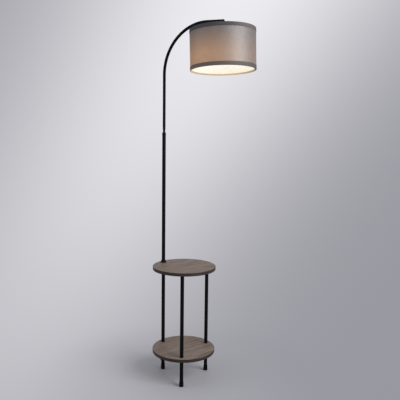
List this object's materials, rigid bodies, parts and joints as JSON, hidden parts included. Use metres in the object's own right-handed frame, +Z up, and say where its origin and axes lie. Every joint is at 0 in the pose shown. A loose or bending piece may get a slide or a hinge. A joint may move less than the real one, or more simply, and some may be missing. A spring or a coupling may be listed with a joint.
{
  "type": "floor lamp",
  "caption": "Floor lamp on a round two-tier table: three tubular legs, one rising as the column, a swivelling arched arm and a drum shade.",
  "frame": {"origin": "on the floor under the column's axis, at the middle of the rear foot's sole", "axes": "+Z up the column, +X from the column over the table, the way the arm reaches at rest, +Y to the left of that"},
  "size_m": [0.4593, 0.28, 1.5593],
  "materials": {
    "black_steel": "satin black powder coat",
    "foot_rubber": "matt black rubber",
    "board_laminate": "satin grey-brown wood-look laminate",
    "board_edge": "dark brown edge band",
    "zinc_steel": "zinc plated",
    "cable_sheath": "black flexible sheath",
    "holder_plastic": "black moulded thermoset",
    "holder_ceramic": "unglazed white ceramic",
    "socket_brass": "bright brass",
    "frame_white": "white lacquered wire",
    "shade_lining": "matt white translucent film, lit from inside",
    "shade_fabric": "grey woven cloth, lit from inside",
    "shade_trim": "dark grey woven tape",
    "bulb_opal": "opal, lit",
    "bulb_white": "white",
    "bulb_nickel": "nickel plated"
  },
  "bodies": {
    "stand": {"foot_rear": "foot_rubber", "foot_front_left": "foot_rubber", "foot_front_right": "foot_rubber", "lower_leg_rear": "black_steel", "lower_leg_front_left": "black_steel", "lower_leg_front_right": "black_steel", "upper_leg_rear": "black_steel", "upper_leg_front_left": "black_steel", "upper_leg_front_right": "black_steel", "shelf_board": "board_laminate", "shelf_edge_band": "board_edge", "tabletop": "board_laminate", "tabletop_edge_band": "board_edge", "leg_plugs": "zinc_steel", "wireway_plugs": "zinc_steel", "shelf_studs": "zinc_steel", "shelf_nipple": "zinc_steel", "tabletop_inserts": "zinc_steel", "tabletop_studs": "zinc_steel", "tabletop_nipple": "zinc_steel", "column_flange": "black_steel", "column_tube": "black_steel", "column_ferrule": "black_steel", "cable_grommet": "foot_rubber", "column_cable": "cable_sheath"},
    "arm": {"arm_pivot": "black_steel", "pivot_washer": "zinc_steel", "pivot_nut": "zinc_steel", "arm_tube": "black_steel", "arm_end_block": "black_steel", "lampholder_nipple": "zinc_steel", "nipple_locknut": "zinc_steel", "lampholder_cap": "holder_plastic", "lampholder_body": "holder_plastic", "lampholder_core": "holder_ceramic", "socket_shell": "socket_brass", "socket_contact": "socket_brass", "shade_ring_nut": "holder_plastic", "shade_spider": "frame_white", "shade_top_wire": "frame_white", "shade_bottom_wire": "frame_white", "shade_lining": "shade_lining", "shade_fabric": "shade_fabric", "shade_top_trim": "shade_trim", "shade_bottom_trim": "shade_trim", "bulb_globe": "bulb_opal", "bulb_housing": "bulb_white", "bulb_screw_cap": "bulb_nickel", "bulb_contact": "zinc_steel", "arm_cable": "cable_sheath"}
  },
  "joints": [
    {"name": "arm_swivel", "type": "hinge", "parent": "stand", "child": "arm", "pos_m": [0, 0, 1.098], "axis": [0, 0, 1], "range_deg": [-170, 170]}
  ]
}
